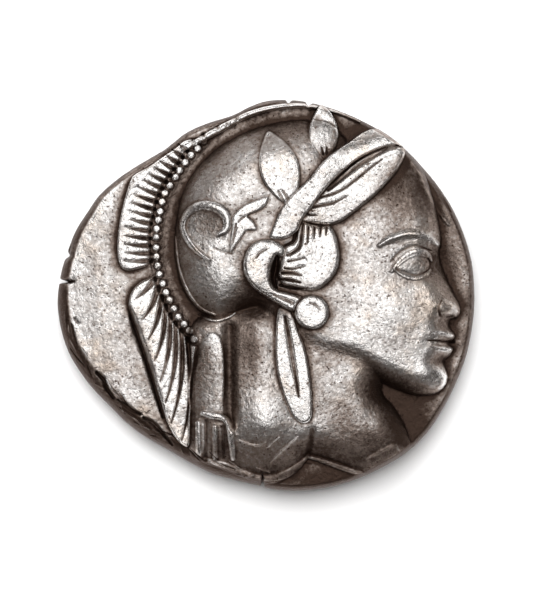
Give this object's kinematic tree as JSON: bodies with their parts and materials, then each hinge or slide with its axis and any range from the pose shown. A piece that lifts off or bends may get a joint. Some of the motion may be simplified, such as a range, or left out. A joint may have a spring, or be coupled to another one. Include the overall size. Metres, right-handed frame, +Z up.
{
  "type": "tetradrachm coin",
  "caption": "Thick hammered silver coin: a helmeted head in high relief on one face, a plain owl in a sunk square on the other.",
  "frame": {"origin": "under the middle of the flan, on the table", "axes": "+Z up out of the obverse, +Y towards the top of the head, +X the way the head looks"},
  "size_m": [0.025, 0.0234, 0.0055],
  "materials": {
    "silver": "worn struck silver, bright on the high places, with dark brown-grey toning in the hollows"
  },
  "bodies": {
    "root": {"struck_silver_coin": "silver"}
  },
  "joints": []
}
